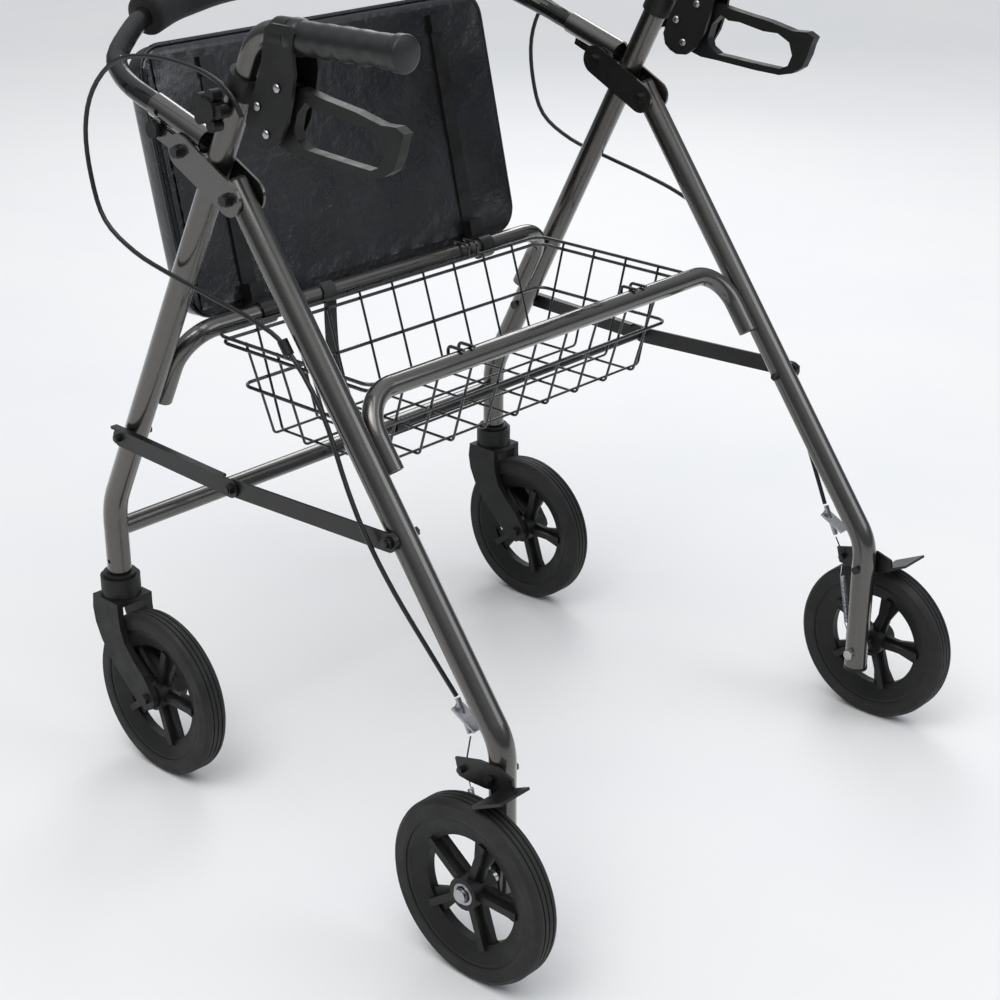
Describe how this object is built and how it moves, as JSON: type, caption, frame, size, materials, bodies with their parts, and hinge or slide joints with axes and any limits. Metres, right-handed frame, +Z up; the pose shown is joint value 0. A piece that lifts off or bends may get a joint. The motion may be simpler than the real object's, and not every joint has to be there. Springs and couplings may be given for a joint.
{
  "type": "rollator walker",
  "caption": "Folding rollator walker with swivel casters, hand brakes, flip-up padded seat, foam backrest bar and lift-out wire basket.",
  "frame": {"origin": "floor level, midway between the left and right legs, near the middle of the footprint", "axes": "+X to the user's left, +Y towards the user behind the walker, +Z up"},
  "size_m": [0.766, 0.74, 0.9135],
  "materials": {
    "frame_paint": "gunmetal metallic gloss",
    "black_steel": "satin black",
    "black_plastic": "fine texture",
    "zinc": "bright zinc",
    "tyre": "matte grey-black",
    "grip_rubber": "black",
    "vinyl": "black vinyl",
    "backing": "black backing cloth",
    "foam": "black closed-cell foam",
    "webbing": "black webbing",
    "black_wire": "gloss black coating"
  },
  "bodies": {
    "front_frame": {"front_leg_left": "frame_paint", "front_leg_right": "frame_paint", "lower_crossbar": "frame_paint", "seat_support_bar": "frame_paint", "hinge_plates": "frame_paint", "hinge_bolts": "black_steel", "backrest_sockets": "frame_paint", "leg_collars": "black_plastic", "caster_bushings": "black_plastic", "brace_pivots": "black_steel", "fold_strap": "webbing", "release_buttons": "black_plastic"},
    "rear_frame": {"rear_leg_left": "frame_paint", "rear_leg_right": "frame_paint", "rear_crossbar": "frame_paint", "rear_leg_plugs": "black_plastic", "rear_axles": "zinc", "brace_spacers": "black_steel", "cable_stops": "zinc", "cable_clips": "black_plastic", "brake_pivots": "black_steel", "brake_springs": "zinc", "brake_cable_left": "grip_rubber", "brake_cable_right": "grip_rubber"},
    "brace_front": {"brace_front_left": "black_steel", "brace_front_right": "black_steel", "cross_rod": "black_steel"},
    "brace_rear": {"brace_rear_left": "black_steel", "brace_rear_right": "black_steel"},
    "seat": {"seat_pad": "vinyl", "seat_board": "backing", "seat_brackets": "black_steel"},
    "backrest": {"backrest_tube": "black_steel", "backrest_foam": "foam"},
    "basket": {"basket_rim": "black_wire", "basket_hooks": "black_wire", "basket_cross_wires": "black_wire", "basket_long_wires": "black_wire"},
    "handle_left": {"handle_tube_left": "frame_paint", "brake_housing_left": "black_plastic", "grip_left": "grip_rubber"},
    "brake_lever_left": {"brake_lever_left": "black_plastic"},
    "brake_arm_left": {"brake_arm_left": "black_steel"},
    "height_knob_left": {"height_knob_left": "black_plastic"},
    "caster_left": {"caster_fork_left": "black_plastic"},
    "caster_wheel_left": {"caster_rim_left": "black_plastic", "caster_tyre_left": "tyre"},
    "rear_wheel_left": {"rear_rim_left": "black_plastic", "rear_tyre_left": "tyre"},
    "handle_right": {"handle_tube_right": "frame_paint", "brake_housing_right": "black_plastic", "grip_right": "grip_rubber"},
    "brake_lever_right": {"brake_lever_right": "black_plastic"},
    "brake_arm_right": {"brake_arm_right": "black_steel"},
    "height_knob_right": {"height_knob_right": "black_plastic"},
    "caster_right": {"caster_fork_right": "black_plastic"},
    "caster_wheel_right": {"caster_rim_right": "black_plastic", "caster_tyre_right": "tyre"},
    "rear_wheel_right": {"rear_rim_right": "black_plastic", "rear_tyre_right": "tyre"}
  },
  "joints": [
    {"name": "fold", "type": "hinge", "parent": "front_frame", "child": "rear_frame", "pos_m": [0, -0.0809, 0.7262], "axis": [-1, 0, 0], "range_deg": [0, 37], "deforming": ["brake_cable_left", "brake_cable_right", "fold_strap"]},
    {"name": "brace_front_fold", "type": "hinge", "parent": "front_frame", "child": "brace_front", "pos_m": [0, -0.2823, 0.423], "axis": [1, 0, 0], "range_deg": [0, 55.5]},
    {"name": "brace_rear_fold", "type": "hinge", "parent": "brace_front", "child": "brace_rear", "pos_m": [0, -0.095, 0.4165], "axis": [-1, 0, 0], "range_deg": [0, 127.1]},
    {"name": "seat_hinge", "type": "hinge", "parent": "front_frame", "child": "seat", "pos_m": [0, -0.22039, 0.543], "axis": [1, 0, 0], "range_deg": [-103, 0]},
    {"name": "handle_height_left", "type": "slide", "parent": "front_frame", "child": "handle_left", "axis": [0, 0.4583, 0.8888], "range_m": [0, 0.1]},
    {"name": "brake_lever_left", "type": "hinge", "parent": "handle_left", "child": "brake_lever_left", "pos_m": [0.32, -0.018, 0.801], "axis": [1, 0, 0], "range_deg": [0, 12], "stiffness_Nm_per_rad": 2, "springref_deg": -11.46},
    {"name": "brake_arm_left", "type": "hinge", "parent": "rear_frame", "child": "brake_arm_left", "pos_m": [0.32, 0.27, 0.213], "axis": [-1, 0, 0], "range_deg": [0, 12], "deforming": ["brake_springs"]},
    {"name": "height_knob_left", "type": "hinge", "parent": "front_frame", "child": "height_knob_left", "pos_m": [0.32, -0.07858, 0.818], "axis": [1, 0, 0], "range_deg": [0, 360]},
    {"name": "caster_swivel_left", "type": "hinge", "parent": "front_frame", "child": "caster_left", "pos_m": [0.32, -0.335, 0.218], "axis": [0, 0, 1], "continuous": true},
    {"name": "caster_roll_left", "type": "hinge", "parent": "caster_left", "child": "caster_wheel_left", "pos_m": [0.32, -0.27, 0.1], "axis": [1, 0, 0], "continuous": true},
    {"name": "rear_roll_left", "type": "hinge", "parent": "rear_frame", "child": "rear_wheel_left", "pos_m": [0.362, 0.27, 0.1], "axis": [1, 0, 0], "continuous": true},
    {"name": "handle_height_right", "type": "slide", "parent": "front_frame", "child": "handle_right", "axis": [0, 0.4583, 0.8888], "range_m": [0, 0.1]},
    {"name": "brake_lever_right", "type": "hinge", "parent": "handle_right", "child": "brake_lever_right", "pos_m": [-0.32, -0.018, 0.801], "axis": [1, 0, 0], "range_deg": [0, 12], "stiffness_Nm_per_rad": 2, "springref_deg": -11.46},
    {"name": "brake_arm_right", "type": "hinge", "parent": "rear_frame", "child": "brake_arm_right", "pos_m": [-0.32, 0.27, 0.213], "axis": [-1, 0, 0], "range_deg": [0, 12]},
    {"name": "height_knob_right", "type": "hinge", "parent": "front_frame", "child": "height_knob_right", "pos_m": [-0.32, -0.07858, 0.818], "axis": [1, 0, 0], "range_deg": [0, 360]},
    {"name": "caster_swivel_right", "type": "hinge", "parent": "front_frame", "child": "caster_right", "pos_m": [-0.32, -0.335, 0.218], "axis": [0, 0, 1], "continuous": true},
    {"name": "caster_roll_right", "type": "hinge", "parent": "caster_right", "child": "caster_wheel_right", "pos_m": [-0.32, -0.27, 0.1], "axis": [1, 0, 0], "continuous": true},
    {"name": "rear_roll_right", "type": "hinge", "parent": "rear_frame", "child": "rear_wheel_right", "pos_m": [-0.362, 0.27, 0.1], "axis": [1, 0, 0], "continuous": true},
    {"name": "backrest_pull", "type": "slide", "parent": "front_frame", "child": "backrest", "axis": [0, -0.9523, 0.3052], "range_m": [0, 0.09]},
    {"name": "basket_lift", "type": "slide", "parent": "front_frame", "child": "basket", "axis": [0, 0, 1], "range_m": [0, 0.37]}
  ],
  "couplings": [
    {"joint": "brace_front_fold", "follows": "fold", "ratio": 1.486},
    {"joint": "brace_rear_fold", "follows": "fold", "ratio": 3.4211},
    {"joint": "brake_arm_left", "follows": "brake_lever_left", "ratio": 1},
    {"joint": "brake_arm_right", "follows": "brake_lever_right", "ratio": 1},
    {"joint": "basket_lift", "follows": "fold", "m_per_rad": 0.557}
  ]
}
